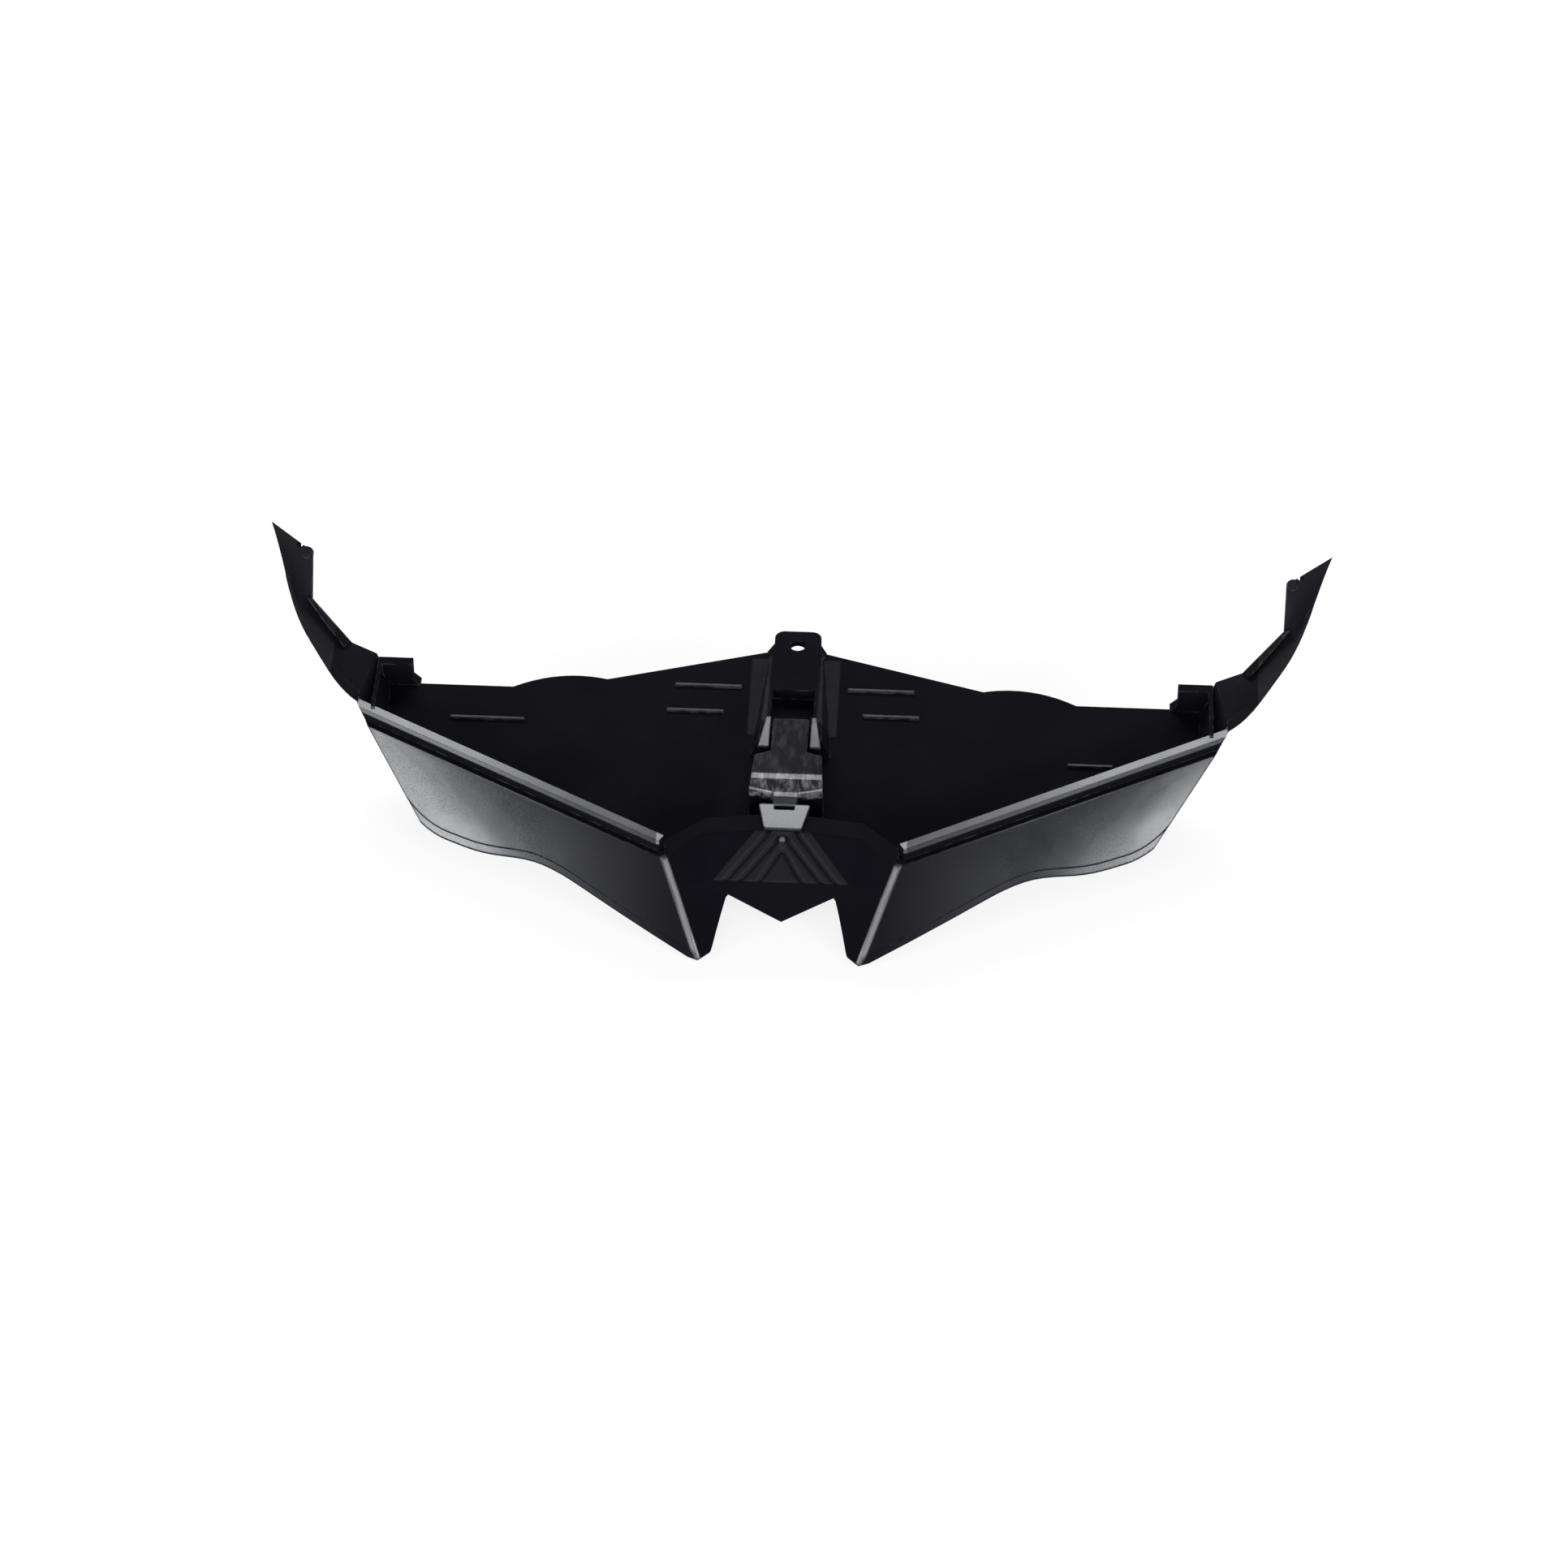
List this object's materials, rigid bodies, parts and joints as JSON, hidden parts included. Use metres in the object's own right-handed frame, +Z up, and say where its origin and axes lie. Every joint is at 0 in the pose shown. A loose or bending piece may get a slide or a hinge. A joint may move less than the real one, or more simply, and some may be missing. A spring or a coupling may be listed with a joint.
{
  "type": "motorcycle headlight lower panel",
  "caption": "Moulded panel below a motorcycle's headlights: V-shaped tray with lipped front faces, beak between fangs, swept-up wings and a rear tab with a hole.",
  "frame": {"origin": "centre of the rear tab's hole, at the tab's top", "axes": "+X to one side, +Y from the beak to the rear, +Z up along the tab's hole"},
  "size_m": [0.43, 0.1705, 0.0789],
  "materials": {
    "black_plastic": "fine moulded grain, satin"
  },
  "bodies": {
    "root": {"headlight_lower_panel": "black_plastic"}
  },
  "joints": []
}
